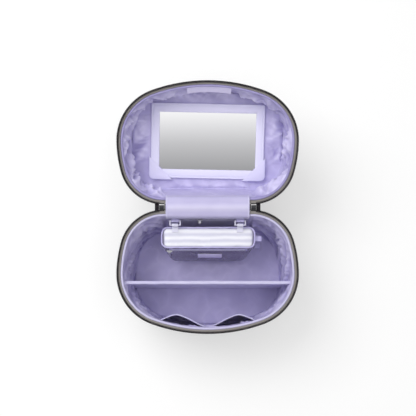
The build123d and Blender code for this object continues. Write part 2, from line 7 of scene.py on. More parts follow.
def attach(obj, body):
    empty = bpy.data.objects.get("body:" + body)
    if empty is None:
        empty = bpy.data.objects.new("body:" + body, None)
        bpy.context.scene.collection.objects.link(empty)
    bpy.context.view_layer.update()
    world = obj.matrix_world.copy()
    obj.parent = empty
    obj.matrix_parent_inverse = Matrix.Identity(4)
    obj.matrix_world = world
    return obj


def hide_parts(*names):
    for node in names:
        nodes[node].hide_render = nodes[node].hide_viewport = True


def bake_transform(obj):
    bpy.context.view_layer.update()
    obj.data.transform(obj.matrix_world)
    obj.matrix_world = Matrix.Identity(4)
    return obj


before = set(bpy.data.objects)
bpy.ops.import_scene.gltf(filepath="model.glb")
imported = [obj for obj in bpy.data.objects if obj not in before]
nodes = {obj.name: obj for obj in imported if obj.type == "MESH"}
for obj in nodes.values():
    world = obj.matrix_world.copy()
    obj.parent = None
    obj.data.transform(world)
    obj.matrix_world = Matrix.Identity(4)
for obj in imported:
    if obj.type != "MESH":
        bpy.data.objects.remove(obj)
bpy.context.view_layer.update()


# Room: a pale floor, a soft white surround, two broad lamps and the camera of the photograph.
# The camera looks down from in front, aimed a little behind the base at the hinge line.
axis_y, axis_z = 120.0, 157.0
view_distance = 1.5
view_elevation = 80
sensor_width, photo_width, focal_pixels = 36.0, 416.0, 794.0
target = Vector((0.0007, axis_y / 1000 - 0.0005, 0.15))
camera_data = bpy.data.cameras.new("photo_camera")
camera_data.sensor_width = sensor_width
camera_data.lens = sensor_width * focal_pixels / photo_width
camera = bpy.data.objects.new("photo_camera", camera_data)
bpy.context.scene.collection.objects.link(camera)
rise = radians(view_elevation)
toward = Vector((0, -cos(rise), sin(rise)))
camera.location = target + toward * view_distance
camera.rotation_euler = (radians(90 - view_elevation), 0, 0)
bpy.context.scene.camera = camera
bpy.context.scene.view_settings.view_transform = "Standard"

floor_size, floor_gap = 12, 0.0005
floor_glow = 0.45
bpy.ops.object.select_all(action="DESELECT")
bpy.ops.mesh.primitive_plane_add(size=floor_size, location=(0, 0, -floor_gap))
floor = bpy.context.active_object
floor.name = "floor"


class Wire:
    """A shader socket that adds, multiplies and mixes like a number."""

    def __init__(self, tree, socket=None):
        self.tree = tree
        self.socket = socket

    def node(self, kind, inputs=None, settings=None, stops=None, out=0):
        """One shader node with its settings first and then the values or links of its sockets."""
        made = self.tree.nodes.new(kind)
        for key, value in (settings or {}).items():
            setattr(made, key, value)
        if stops:
            while len(made.color_ramp.elements) < len(stops):
                made.color_ramp.elements.new(0.5)
            for element, (place, colour) in zip(made.color_ramp.elements, stops):
                element.position = place
                element.color = colour
        for key, value in (inputs or {}).items():
            if isinstance(value, Wire):
                self.tree.links.new(value.socket, made.inputs[key])
            else:
                made.inputs[key].default_value = value
        return Wire(self.tree, made.outputs[out] if len(made.outputs) else None)

    def maths(self, operation, *values):
        """A Math node of the named operation on wires or numbers."""
        return self.node("ShaderNodeMath", dict(enumerate(values)), {"operation": operation})

    def __add__(self, other):
        return self.maths("ADD", self, other)

    __radd__ = __add__

    def __sub__(self, other):
        return self.maths("SUBTRACT", self, other)

    def __rsub__(self, other):
        return self.maths("SUBTRACT", other, self)

    def __mul__(self, other):
        return self.maths("MULTIPLY", self, other)

    __rmul__ = __mul__

    def mix(self, first, second):
        """Goes from the first colour to the second as this wire goes from 0 to 1."""
        keys = {0: self, 6: first, 7: second}
        return self.node("ShaderNodeMix", keys, {"data_type": "RGBA"}, out=2)

    def noise(self, place, scale, detail=3.0, roughness=0.5):
        """Cloudy values about 0.5, scale of them to a metre."""
        keys = {"Vector": place, "Scale": scale, "Detail": detail, "Roughness": roughness}
        return self.node("ShaderNodeTexNoise", keys)

    def waves(self, place, scale, direction, distortion=0.0):
        """Stripes that follow each other along one direction."""
        keys = {"Vector": place, "Scale": scale, "Distortion": distortion}
        return self.node("ShaderNodeTexWave", keys, {"bands_direction": direction})

    def stretch(self, place, scale):
        """The place vector multiplied along each axis."""
        return self.node("ShaderNodeVectorMath", {0: place, 1: scale}, {"operation": "MULTIPLY"})

    def bump(self, height, strength, distance):
        return self.node("ShaderNodeBump", {"Height": height, "Strength": strength, "Distance": distance})

    def part(self, place, index):
        """One coordinate of the place: 0 for X, 1 for Y, 2 for Z."""
        return self.node("ShaderNodeSeparateXYZ", {"Vector": place}, out=index)


def surface(look, name=None):
    """Makes a look into a material, whose Principled node takes the sockets that the look returns."""
    material = bpy.data.materials.new(name or look.__name__)
    material.use_nodes = True
    tree = material.node_tree
    tree.nodes.clear()
    wire = Wire(tree)
    place = wire.node("ShaderNodeTexCoord", out=3)
    shader = wire.node("ShaderNodeBsdfPrincipled", look(wire, place))
    wire.node("ShaderNodeOutputMaterial", {"Surface": shader})
    return material


@surface
def pale_floor(wire, place):
    return {"Base Color": (0.96, 0.96, 0.96, 1), "Roughness": 0.9, "Specular IOR Level": 0.0}


floor.data.materials.append(pale_floor)
ground = Wire(pale_floor.node_tree)
lit = Wire(pale_floor.node_tree, pale_floor.node_tree.nodes["Principled BSDF"].outputs[0])
glow = ground.node("ShaderNodeEmission", {"Color": (1, 1, 1, 1), "Strength": 1.0})
eye = ground.node("ShaderNodeLightPath", out=0) * floor_glow
blended = ground.node("ShaderNodeMixShader", {0: eye, 1: lit, 2: glow})
pale_floor.node_tree.links.new(blended.socket, pale_floor.node_tree.nodes["Material Output"].inputs[0])

world = bpy.data.worlds.new("studio")
bpy.context.scene.world = world
world.use_nodes = True
world.node_tree.nodes.clear()
sky = Wire(world.node_tree)
direction = sky.node("ShaderNodeTexCoord", out=0)
forward = sky.part(direction, 1) * -1.0
slope = sky.maths("ARCTAN2", forward, sky.part(direction, 2)) * (180 / pi / 90)
# What polished metal and glass see: bright overhead, darkening towards the front, then mid grey.
reflected = sky.node("ShaderNodeValToRGB", {"Fac": slope}, stops=[
    (0.256, (1, 1, 1, 1)), (0.268, (0.8, 0.8, 0.81, 1)), (0.282, (0.58, 0.58, 0.59, 1)),
    (0.304, (0.36, 0.36, 0.37, 1)), (0.62, (0.75, 0.75, 0.76, 1))])
camera_ray = sky.node("ShaderNodeLightPath", out=0)
glossy_ray = sky.node("ShaderNodeLightPath", out=3)
clear_ray = sky.node("ShaderNodeLightPath", out=6)
seen = sky.maths("MAXIMUM", camera_ray, clear_ray)
soft = sky.node("ShaderNodeBackground", {"Color": (1, 1, 1, 1), "Strength": 0.5})
shiny = sky.node("ShaderNodeBackground", {"Color": reflected, "Strength": 1.0})
white = sky.node("ShaderNodeBackground", {"Color": (1, 1, 1, 1), "Strength": 1.0})
around = sky.node("ShaderNodeMixShader", {0: glossy_ray, 1: soft, 2: shiny})
backdrop = sky.node("ShaderNodeMixShader", {0: seen, 1: around, 2: white})
sky.node("ShaderNodeOutputWorld", {"Surface": backdrop})


def lamp(name, size, energy, place, aim):
    """A square soft box that lights the case and doesn't show in its gloss."""
    data = bpy.data.lights.new(name, "AREA")
    data.size = size
    data.energy = energy
    holder = bpy.data.objects.new(name, data)
    bpy.context.scene.collection.objects.link(holder)
    holder.location = place
    holder.rotation_euler = (Vector(aim) - Vector(place)).to_track_quat("-Z", "Y").to_euler()
    holder.visible_glossy = False


lamp("key", 1.3, 24.0, (-0.85, 0.75, 1.7), (0, 0.1, 0.1))
lamp("fill", 2.4, 14.0, (0.5, -0.4, 2.2), (0, 0.1, 0.1))


# Shells: two moulded cups of charcoal plastic with a fine grained skin.
# The handle mounts are moulded in the same plastic and stand on the lid's shell.
def clothe(material, *names):
    """Gives CAD nodes a better material."""
    for name in names:
        mesh = nodes[name].data
        mesh.materials.clear()
        mesh.materials.append(material)


@surface
def shell_plastic(wire, place):
    grain = wire.node("ShaderNodeTexVoronoi", {"Vector": place, "Scale": 900.0})
    cloud = wire.noise(place, 18.0)
    colour = cloud.mix((0.03, 0.028, 0.031, 1), (0.048, 0.045, 0.05, 1))
    return {"Base Color": colour, "Roughness": cloud * 0.12 + 0.42,
            "Normal": wire.bump(grain, 0.35, 0.0003)}


clothe(shell_plastic, "base_shell", "lid_shell", "handle_mounts")


# Rim trims: a thin moulded taupe profile, matt and finely speckled.
# Each is pressed over its shell's edge and turned in over the lining's seam.
@surface
def trim_plastic(wire, place):
    speck = wire.noise(place, 420.0, 2.0)
    cloud = wire.noise(place, 30.0)
    colour = cloud.mix((0.235, 0.215, 0.205, 1), (0.3, 0.28, 0.27, 1))
    return {"Base Color": colour, "Roughness": 0.5, "Normal": wire.bump(speck, 0.2, 0.0002)}


clothe(trim_plastic, "base_rim", "lid_rim")


# Zip tapes: black herringbone tape woven from polyester.
# It is stitched round the outside of each shell's edge.
@surface
def tape_cloth(wire, place):
    weave = wire.waves(place, 260.0, "DIAGONAL", 0.6)
    cross = wire.waves(place, 300.0, "Z")
    colour = (weave * cross).mix((0.014, 0.012, 0.016, 1), (0.036, 0.032, 0.038, 1))
    return {"Base Color": colour, "Roughness": 0.85, "Specular IOR Level": 0.25,
            "Normal": wire.bump(weave * cross, 0.5, 0.0003)}


clothe(tape_cloth, "base_zip_tape", "lid_zip_tape")


# Zip coils: a row of moulded black nylon teeth along each tape's edge.
# One tooth is modelled and copied round the outline, leaving out the stretch between the sliders.
@surface
def coil_nylon(wire, place):
    cloud = wire.noise(place, 60.0)
    colour = cloud.mix((0.012, 0.01, 0.013, 1), (0.026, 0.022, 0.027, 1))
    return {"Base Color": colour, "Roughness": 0.6, "Specular IOR Level": 0.2}


tooth_pitch = 2.1
tooth_size = (1.3, 4.9, 3.0)
tooth_bevel = 0.32
tooth_inset = 2.45
tooth_middle_z = 154.4
slider_edge = 91.3
half_width, front_reach, back_reach = 170.0, 112.4, 119.4
front_corner, flank, back_corner = 0.893 * front_reach, 1.345 * half_width, 0.682 * back_reach
outline_shift = (front_reach - back_reach) / 2
back_y = back_reach + outline_shift


def outline(step):
    """Places about step apart on the case's oval of tangent arcs, with their outward directions.

    They start at the middle of the back and go round the right side first."""
    across, along = half_width - front_corner, front_reach - front_corner
    bend = 2 * atan2(along, across)
    front = front_corner + across / sin(bend)
    rise = asin((back_reach - back_corner) / (flank - back_corner))
    corner_x = half_width - flank + (flank - back_corner) * cos(rise)
    corner_y = back_reach - back_corner
    quarter = pi / 2
    right = [(0.0, back_reach, 0.0, 1.0)]
    count = max(2, round(corner_x / step))
    right += [(corner_x * i / count, back_reach, 0.0, 1.0) for i in range(1, count)]
    arcs = [(corner_x, corner_y, back_corner, quarter, rise), (half_width - flank, 0, flank, rise, 0)]
    arcs += [(half_width - front_corner, 0, front_corner, 0, bend - quarter)]
    arcs += [(0, front - front_reach, front, bend - quarter, -quarter)]
    for x, y, radius, start, end in arcs:
        count = max(2, round(abs(end - start) * radius / step))
        for i in range(count):
            angle = start + (end - start) * i / count
            c, s = cos(angle), sin(angle)
            right.append((x + radius * c, y + radius * s, c, s))
    front_middle = [(0.0, -front_reach, 0.0, -1.0)]
    left = [(-x, y, -c, s) for x, y, c, s in reversed(right[1:])]
    return [(x, y + outline_shift, c, s) for x, y, c, s in right + front_middle + left]


def over_base(x, y, z):
    """A drawn place of the base, in metres."""
    return Vector((x, y, z)) / 1000


lid_open_tilt = 20


def over_lid(x, y, z):
    """The same place drawn for the lid, which lies open behind the hinge."""
    tilt = radians(lid_open_tilt)
    v, w = axis_y - y, z - axis_z
    turned_y = axis_y + v * cos(tilt) - w * sin(tilt)
    turned_z = axis_z + v * sin(tilt) + w * cos(tilt)
    return Vector((-x, turned_y, turned_z)) / 1000


def choose(*pieces):
    """Selects these pieces and no other, with the first of them active."""
    bpy.ops.object.select_all(action="DESELECT")
    for piece in pieces:
        piece.select_set(True)
    bpy.context.view_layer.objects.active = pieces[0]


def built(name, corners, faces):
    """A new piece with these corners and faces."""
    mesh = bpy.data.meshes.new(name)
    mesh.from_pydata(corners, [], faces)
    piece = bpy.data.objects.new(name, mesh)
    bpy.context.scene.collection.objects.link(piece)
    return piece


def edit_all(operation, **settings):
    """Runs an operation on the whole mesh of the active piece."""
    bpy.ops.object.mode_set(mode="EDIT")
    bpy.ops.mesh.select_all(action="SELECT")
    operation(**settings)
    bpy.ops.object.mode_set(mode="OBJECT")


def outward(piece):
    """Turns every face of a closed piece outwards."""
    choose(piece)
    edit_all(bpy.ops.mesh.normals_make_consistent, inside=False)


def zip_teeth(name, node, body, over):
    """The teeth of one half of the zip, all in one piece."""
    bpy.ops.object.select_all(action="DESELECT")
    bpy.ops.mesh.primitive_cube_add(size=1)
    tooth = bpy.context.active_object
    bpy.ops.transform.resize(value=tooth_size)
    edit_all(bpy.ops.mesh.bevel, offset=tooth_bevel, segments=1, affect="EDGES")
    bpy.ops.object.transform_apply(location=True, rotation=True, scale=True)
    pattern = [v.co.copy() for v in tooth.data.vertices]
    faces = [tuple(f.vertices) for f in tooth.data.polygons]
    corners, polygons = [], []
    ring = outline(tooth_pitch)
    for x, y, nx, ny in ring:
        if abs(x) < slider_edge and y > 0:
            continue
        start = len(corners)
        for co in pattern:
            place_x = x - nx * tooth_inset - ny * co.x + nx * co.y
            place_y = y - ny * tooth_inset + nx * co.x + ny * co.y
            corners.append(over(place_x, place_y, tooth_middle_z + co.z))
        polygons += [tuple(start + i for i in f) for f in faces]
    piece = built(name, corners, polygons)
    bpy.data.objects.remove(tooth)
    outward(piece)
    piece.data.materials.append(coil_nylon)
    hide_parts(node)
    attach(piece, body)


zip_teeth("base_teeth", "base_zip_coil", "base", over_base)
zip_teeth("lid_teeth", "lid_zip_coil", "lid", over_lid)


# Linings: thin lavender nylon over soft padding, cut full so that it wrinkles in the corners.
# Each is sewn in at the rim and glued along the floor, so the folds lie between the two.
def nylon_weave(wire, place):
    """Height of a fine plain weave with a few thicker threads."""
    over = wire.waves(place, 420.0, "X")
    under = wire.waves(place, 420.0, "Y")
    slub = wire.noise(wire.stretch(place, (30.0, 260.0, 260.0)), 1.0)
    return over * under + slub * 0.6


@surface
def lining_nylon(wire, place):
    weave = nylon_weave(wire, place)
    cloud = wire.noise(place, 14.0, 4.0)
    # Painted shade and light: the fold attribute darkens the folds' valleys and lightens their ridges.
    ridge_and_shade = wire.node("ShaderNodeAttribute", settings={"attribute_name": "fold"}, out=2)
    swirl = wire.noise(place, 22.0, 2.0)
    # The crease lines are painted lighter as well as bumped, a painted highlight along them.
    crease = wire.maths("POWER", 1.0 - wire.maths("ABSOLUTE", swirl * 2.0 - 1.0), 4.0)
    fold_shade_tone = wire.maths("MINIMUM", cloud * 0.1 + ridge_and_shade * 0.75 + crease * 0.17, 1.0)
    # The dark colour is painted shade in the valleys and the light one painted light on the ridges; the
    # cloud adds random tone.
    colour = fold_shade_tone.mix((0.175, 0.14, 0.41, 1), (0.73, 0.69, 0.94, 1))
    return {"Base Color": colour, "Roughness": cloud * 0.2 + 0.34, "Sheen Weight": 0.15,
            "Normal": wire.bump(crease + weave * 0.04, 0.35, 0.0025)}


def fold(along, z, seed):
    """Ridges from 0 to 1 of long slanting folds, at a distance along the wall and a drawn height.

    Their warp isn't seeded, so the folds lie a little differently in every run."""
    slant = Vector((along / 44 + z / 52, z / 80, seed))
    warp = noise.noise_vector(slant * 0.8) * 0.9
    broad = 1 - abs(noise.noise(slant + warp)) * 2.6
    fine = 1 - abs(noise.noise(Vector((along / 19 - z / 24, z / 40, seed + 5)) + warp * 1.6)) * 2.4
    return min(1.0, max(0.0, broad) ** 1.2 * 0.68 + max(0.0, fine) ** 1.2 * 0.42)


def finish_with(piece, *steps):
    """Adds each modifier with its settings and applies it."""
    choose(piece)
    for kind, settings in steps:
        added = piece.modifiers.new(kind.lower(), kind)
        for key, value in settings.items():
            setattr(added, key, value)
        bpy.ops.object.modifier_apply(modifier=added.name)


def thickness(amount, offset=0.0):
    return ("SOLIDIFY", {"thickness": amount / 1000, "offset": offset})


def soft_edge(width, segments):
    return ("BEVEL", {"width": width, "segments": segments, "limit_method": "ANGLE"})


rim_z = 150.0
lining_top, lining_floor = 147.2, 5.2
lining_inset, wall_lean = 9.2, 10.0
wall_rows, bend_rows, floor_rows = 34, 5, 36
foot_swell = 0.45
lining_step = 2.2


def lining_cup(name, node, body, over, bottom, corner, reach, seed, quiet):
    """A cup of cloth from under the binding to the middle of the floor.

    corner is the radius where wall and floor meet, and reach is how far the folds stand out."""
    ring = outline(lining_step)
    count = len(ring)
    along = [0.0]
    for a, b in zip(ring, ring[1:]):
        along.append(along[-1] + dist(a[:2], b[:2]))
    height = rim_z - bottom
    floor_z = bottom + lining_floor

    def inset_at(z):
        return lining_inset + wall_lean * (rim_z - z) / height

    # A station is a row of the cloth: its inset, height, share of the folds and distance from the middle.
    stations = []
    for i in range(wall_rows + 1):
        t = i / wall_rows
        z = lining_top + (floor_z + corner - lining_top) * t
        belly = sin(pi * min(1, t * 1.1))
        stations.append((inset_at(z), z, max(foot_swell * min(1, t * 9), belly), 1.0))
    for i in range(1, bend_rows + 1):
        a = pi / 2 * i / bend_rows
        inset = inset_at(floor_z) + corner * (1 - cos(a))
        stations.append((inset, floor_z + corner * (1 - sin(a)), foot_swell, 1.0))
    last = stations[-1][0]
    for i in range(1, floor_rows + 1):
        stations.append((last, floor_z, 0.55 * (1 - i / floor_rows) ** 0.7, 1 - i / (floor_rows + 0.35)))
    corners, painted_fold_shade = [], []
    for inset, z, swell, shrink in stations:
        for (x, y, nx, ny), run in zip(ring, along):
            px, py = (x - nx * inset) * shrink, (y - ny * inset) * shrink
            ridge_and_shade = fold(run, z - (1 - shrink) * rim_z, seed)
            lift = reach * swell * ridge_and_shade * quiet(px, py, z)
            # Each corner's painted fold shade: dark in a valley, light on a ridge, an even middle where the
            # cloth is calm.
            painted_fold_shade.append(0.6 + (0.85 * ridge_and_shade - 0.45) * max(0.0, quiet(px, py, z)))
            if shrink < 1:
                corners.append(over(px, py, z + lift * 0.6))
            else:
                corners.append(over(px - nx * lift, py - ny * lift, z))
    faces = []
    for row in range(len(stations) - 1):
        for i in range(count):
            j = (i + 1) % count
            a, b = row * count, (row + 1) * count
            faces.append((a + i, b + i, b + j, a + j))
    base = (len(stations) - 1) * count
    faces.append(tuple(base + i for i in range(count)))
    piece = built(name, corners, faces)
    # The painted fold shade is kept on the cloth as its fold attribute.
    shade = piece.data.attributes.new("fold", "FLOAT", "POINT")
    for k, value in enumerate(painted_fold_shade):
        shade.data[k].value = value
    finish_with(piece, thickness(0.8, 1.0))
    outward(piece)
    bpy.ops.object.shade_smooth()
    piece.data.materials.append(lining_nylon)
    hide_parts(node)
    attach(piece, body)


def base_quiet(x, y, z):
    """Calm cloth where panels are sewn to the base's lining."""
    return 0.1 if y > 80 and abs(x) < 86 or y < -84 and abs(x) < 104 and z < 112 else 1.0


def ease(value):
    """The value held between 0 and 1."""
    return min(1.0, max(0.0, value))


def lid_quiet(x, y, z):
    """Calm cloth under the lid's label, at the hinge and behind the mirror, with room for its corners."""
    low = ease((106 - z) / 12)
    behind = ease((126 - abs(x)) / 14) * ease((y + 88) / 14) * ease((98 - y) / 14)
    corner = ease((abs(x) - 72) / 10) * ease((abs(y) - 38) / 10)
    label = ease((66 - abs(x)) / 10) * ease((-66 - y) / 8) * ease((z - 106) / 8)
    hinge = ease((92 - abs(x)) / 12) * ease((y - 90) / 8)
    calm = 1 - 0.9 * max(low * behind, label, hinge)
    return calm - (calm + 0.3) * low * corner


lining_cup("base_lining_cloth", "base_lining", "base", over_base, 0.0, 7.0, 9.0, 3.0, base_quiet)
lining_cup("lid_lining_cloth", "lid_lining", "lid", over_lid, 75.0, 2.0, 13.0, 11.0, lid_quiet)


# Bindings: folded bias tape, pale lilac in the base and a deeper lilac in the lid.
# Each is sewn over its lining's top edge, just inside the rim trim.
@surface
def binding_tape(wire, place):
    rib = wire.waves(place, 340.0, "DIAGONAL")
    cloud = wire.noise(place, 40.0)
    colour = cloud.mix((0.5, 0.47, 0.7, 1), (0.62, 0.6, 0.79, 1))
    return {"Base Color": colour, "Roughness": 0.6, "Sheen Weight": 0.2,
            "Normal": wire.bump(rib, 0.3, 0.0002)}


binding_inset, binding_step = 9.8, 3.0
binding_profile = [(-2.2, -4.0), (-2.3, -1.2), (-1.8, 0.3), (-0.6, 0.9)]
binding_profile += [(-out, up) for out, up in reversed(binding_profile)]


def wander(x, y, z):
    """A smooth value from -1 to 1, the same in every run."""
    return noise.noise(Vector((x, y, z)))


def sweep(name, rows, caps=True, closed=False):
    """A mesh through rows of corners, with filled ends or with the last row joined to the first."""
    width = len(rows[0])
    faces = []
    for k in range(len(rows) if closed else len(rows) - 1):
        here, there = k * width, (k + 1) % len(rows) * width
        for i in range(width):
            j = (i + 1) % width
            faces.append((here + i, here + j, there + j, there + i))
    if caps:
        last = (len(rows) - 1) * width
        faces += [tuple(range(width - 1, -1, -1)), tuple(last + i for i in range(width))]
    piece = built(name, [corner for row in rows for corner in row], faces)
    outward(piece)
    bpy.ops.object.shade_smooth()
    return piece


def bound_edge(name, node, body, over, material):
    """One binding, its section carried round the outline with a slight wave along its top."""
    rows = []
    for x, y, nx, ny in outline(binding_step):
        wave = 0.25 * wander(x / 9, y / 9, 2.0)
        row = []
        for out, up in binding_profile:
            inset = binding_inset - out
            row.append(over(x - nx * inset, y - ny * inset, rim_z + up + (wave if up > 0 else 0)))
        rows.append(row)
    piece = sweep(name, rows, caps=False, closed=True)
    piece.data.materials.append(material)
    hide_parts(node)
    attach(piece, body)


@surface
def lid_binding_tape(wire, place):
    cloud = wire.noise(place, 30.0)
    colour = cloud.mix((0.27, 0.24, 0.48, 1), (0.4, 0.365, 0.63, 1))
    return {"Base Color": colour, "Roughness": 0.6,
            "Normal": wire.bump(nylon_weave(wire, place), 0.2, 0.0002)}


bound_edge("base_bound_edge", "base_binding", "base", over_base, binding_tape)
bound_edge("lid_bound_edge", "lid_binding", "lid", over_lid, lid_binding_tape)


# Hinge cloths: a black outer strip from shell to shell and a lavender cover over both rims.
# Both are sewn to the base on one side and to the lid on the other, and are drawn bent over the hinge.
def lid_place(y, z):
    """Where a drawn place of the lid's middle plane lies, in millimetres."""
    point = over_lid(0, y, z)
    return point.y * 1000, point.z * 1000


def smooth_line(points, count):
    """Even samples of a smooth curve through points, and the curve's length."""
    dense = []
    for i in range(len(points) - 1):
        p0 = points[max(0, i - 1)]
        p1, p2 = points[i], points[i + 1]
        p3 = points[min(len(points) - 1, i + 2)]
        for k in range(24):
            t = k / 24
            dense.append(tuple(
                0.5 * (2 * b + (c - a) * t + (2 * a - 5 * b + 4 * c - d) * t * t
                       + (3 * b - a - 3 * c + d) * t ** 3)
                for a, b, c, d in zip(p0, p1, p2, p3)))
    dense.append(points[-1])
    lengths = [0.0]
    for a, b in zip(dense, dense[1:]):
        lengths.append(lengths[-1] + dist(a, b))
    samples, k = [], 0
    for i in range(count + 1):
        want = lengths[-1] * i / count
        while k < len(lengths) - 2 and lengths[k + 1] < want:
            k += 1
        t = (want - lengths[k]) / max(1e-9, lengths[k + 1] - lengths[k])
        samples.append(tuple(a + (b - a) * t for a, b in zip(dense[k], dense[k + 1])))
    return samples, lengths[-1]


def merged(piece):
    """The piece just made, with the corners that meet made one."""
    edit_all(bpy.ops.mesh.remove_doubles, threshold=0.00002)
    return piece


def hinge_line(side, top, count):
    """A smooth line up the base's side, over top and down the same side of the lid."""
    return smooth_line(side + [top] + [lid_place(y, z) for y, z in reversed(side)], count)


def cloth_grid(name, across, along, place, *steps):
    """A grid of cloth whose corner i, j goes to place(i / across, j / along), with its modifiers applied."""
    bpy.ops.object.select_all(action="DESELECT")
    bpy.ops.mesh.primitive_grid_add(x_subdivisions=across, y_subdivisions=along, size=2)
    piece = bpy.context.active_object
    piece.name = piece.data.name = name
    for vertex in piece.data.vertices:
        u = (vertex.co.x + 1) / 2
        v = (vertex.co.y + 1) / 2
        vertex.co = place(u, v)
    bpy.ops.object.shade_smooth()
    finish_with(piece, *steps)
    return piece


rim_depth, binding_width, cloth_gap, cover_stand = 7.4, 4.6, 0.1, 2.1
cover_half, cover_thickness, cover_steps = 78.0, 1.2, 40
cover_y = back_y - rim_depth - binding_width - cloth_gap - cover_stand
cover_side = [(cover_y, 137.0), (cover_y, 148.5), (cover_y + 2.2, 153.0), (back_y - 5.0, 156.0)]
cover_line, cover_length = hinge_line(cover_side, (axis_y, 159.6), cover_steps)


def cover_place(u, v):
    y, z = cover_line[round(v * cover_steps)]
    x = (u * 2 - 1) * cover_half
    ripple = 0.35 * wander(x / 16, y / 22, 5.0)
    return over_base(x, y, z + ripple)


hinge_cover = cloth_grid("hinge_cover_cloth", 60, cover_steps, cover_place, thickness(cover_thickness))
outward(hinge_cover)


@surface
def cover_nylon(wire, place):
    over = wire.waves(place, 420.0, "X")
    cloud = wire.noise(place, 16.0)
    # Painted highlight: a lighter band along y = 118.5 mm stands in for the sheen across the hinge cover's
    # crown.
    off = wire.maths("ABSOLUTE", wire.part(place, 1) - 0.1185) * 110.0
    painted_highlight_band = wire.maths("MAXIMUM", 1.0 - off, 0.0)
    colour = (cloud * 0.55 + painted_highlight_band * 0.55).mix((0.4, 0.37, 0.61, 1), (0.66, 0.63, 0.82, 1))
    return {"Base Color": colour, "Roughness": 0.5, "Sheen Weight": 0.25,
            "Normal": wire.bump(over, 0.2, 0.0002)}


hinge_cover.data.materials.append(cover_nylon)
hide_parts("hinge_cover")
cover_length / 1000
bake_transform(hinge_cover)

# The cover's two side edges are rolled over a thin cord and bound.
for sign, end in ((-1, "left"), (1, "right")):
    def roll_place(u, v, sign=sign):
        k = round(v * cover_steps)
        y, z = cover_line[k]
        ahead = cover_line[min(cover_steps, k + 1)]
        behind = cover_line[max(0, k - 1)]
        length = dist(ahead, behind)
        ty, tz = (ahead[0] - behind[0]) / length, (ahead[1] - behind[1]) / length
        a = u * 2 * pi
        across, up = 1.7 * cos(a), 1.15 * sin(a)
        return over_base(sign * (cover_half - 0.6) + across, y - tz * up, z + ty * up)

    roll = merged(cloth_grid("cover_edge_" + end, 12, cover_steps, roll_place))
    outward(roll)
    roll.data.materials.append(binding_tape)
    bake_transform(roll)

# The outer strip lies on the zip tapes at the back of both shells.
tape_depth, tape_half, strip_gap = 2.2, 0.75, 0.6
strip_half, strip_steps = 80.0, 24
strip_y = back_y - tape_depth + tape_half + strip_gap
strip_side = [(strip_y, 141.0), (strip_y, 149.0)]
strip_line, strip_length = hinge_line(strip_side, (axis_y + 1.1, 156.4), strip_steps)


def strip_place(u, v):
    y, z = strip_line[round(v * strip_steps)]
    return over_base((u * 2 - 1) * strip_half, y, z)


hinge_strip = cloth_grid("hinge_strip_cloth", 40, strip_steps, strip_place, thickness(1.0))
outward(hinge_strip)
hinge_strip.data.materials.append(tape_cloth)
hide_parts("hinge_strip")
strip_length / 1000
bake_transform(hinge_strip)

# Short ends of tape beside the strip, on both sides of each slider's pull, tucked in towards the lining.
tuck_start, tuck_growth = 84.0, 0.021
tuck_along_lid, tuck_up_lid = 0.94, 0.34
gusset_side = [(116.3, 143.0), (116.4, 149.5), (118.0, 151.4)]
gusset_line = hinge_line(gusset_side, (120.4, 152.2), strip_steps)[0]
for sign, end, near, far in ((-1, "left", 78.5, 81.6), (1, "right", 78.5, 81.6),
                             (-1, "left_end", 91.8, 99.5), (1, "right_end", 91.8, 99.5)):
    def gusset_place(u, v, sign=sign, near=near, far=far):
        y, z = gusset_line[round(v * strip_steps)]
        x = sign * (near + (far - near) * u)
        tuck = max(0.0, abs(x) - tuck_start) ** 2 * tuck_growth
        y = y - tuck if v < 0.5 else y + tuck * tuck_along_lid
        z = z if v < 0.5 else z + tuck * tuck_up_lid
        return over_base(x, y, z)

    gusset = cloth_grid("hinge_gusset_" + end, 6, strip_steps, gusset_place, thickness(0.9))
    outward(gusset)
    gusset.data.materials.append(tape_cloth)
    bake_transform(gusset)


# Metal: the small sliders and the screws are plated zinc with a soft brushed shine.
# The rings and hooks are lacquered lilac over metal, and the main zip's sliders are near black.
@surface
def plated_zinc(wire, place):
    brushed = wire.noise(wire.stretch(place, (40.0, 900.0, 900.0)), 1.0)
    return {"Base Color": (0.58, 0.58, 0.6, 1), "Metallic": 1.0, "Roughness": brushed * 0.15 + 0.22}


clothe(plated_zinc, "rear_slider", "pouch_slider", "handle_screws")


def lacquered(name, colour, metallic, roughness):
    def look(wire, place):
        speck = wire.noise(place, 500.0)
        return {"Base Color": colour, "Metallic": metallic, "Roughness": speck * 0.15 + roughness}

    return surface(look, name)


pale_metal = lacquered("pale_metal", (0.7, 0.69, 0.82, 1), 0.35, 0.35)
dark_metal = lacquered("dark_metal", (0.035, 0.035, 0.04, 1), 0.3, 0.4)
clothe(pale_metal, "pouch_hooks", "tab_rings")
clothe(dark_metal, "main_sliders", "main_pull_left", "main_pull_right")


# Mirror: glass under the lip of a padded leatherette frame, stitched close to its outer edge.
# Its lower corners stand in two cloth pockets sewn to the lid.
@surface
def leatherette(wire, place):
    grain = wire.node("ShaderNodeTexVoronoi", {"Vector": place, "Scale": 520.0})
    cloud = wire.noise(place, 12.0)
    colour = cloud.mix((0.7, 0.68, 0.89, 1), (0.79, 0.77, 0.95, 1))
    return {"Base Color": colour, "Roughness": 0.48, "Normal": wire.bump(grain, 0.25, 0.0003)}


clothe(leatherette, "mirror_back")


@surface
def mirror_silver(wire, place):
    smudge = wire.noise(place, 9.0, 4.0)
    return {"Base Color": (0.93, 0.93, 0.94, 1), "Metallic": 1.0, "Roughness": smudge * 0.02 + 0.01}


clothe(mirror_silver, "mirror_glass")
mirror_skew = radians(-1.2)
mirror_middle_y, mirror_back_z = 3.0, 80.5


def over_mirror(x, y, z):
    """A place measured from the middle of the mirror's back, as it lies askew in the lid."""
    c, s = cos(mirror_skew), sin(mirror_skew)
    return over_lid(x * c - y * s, x * s + y * c + mirror_middle_y, z + mirror_back_z)


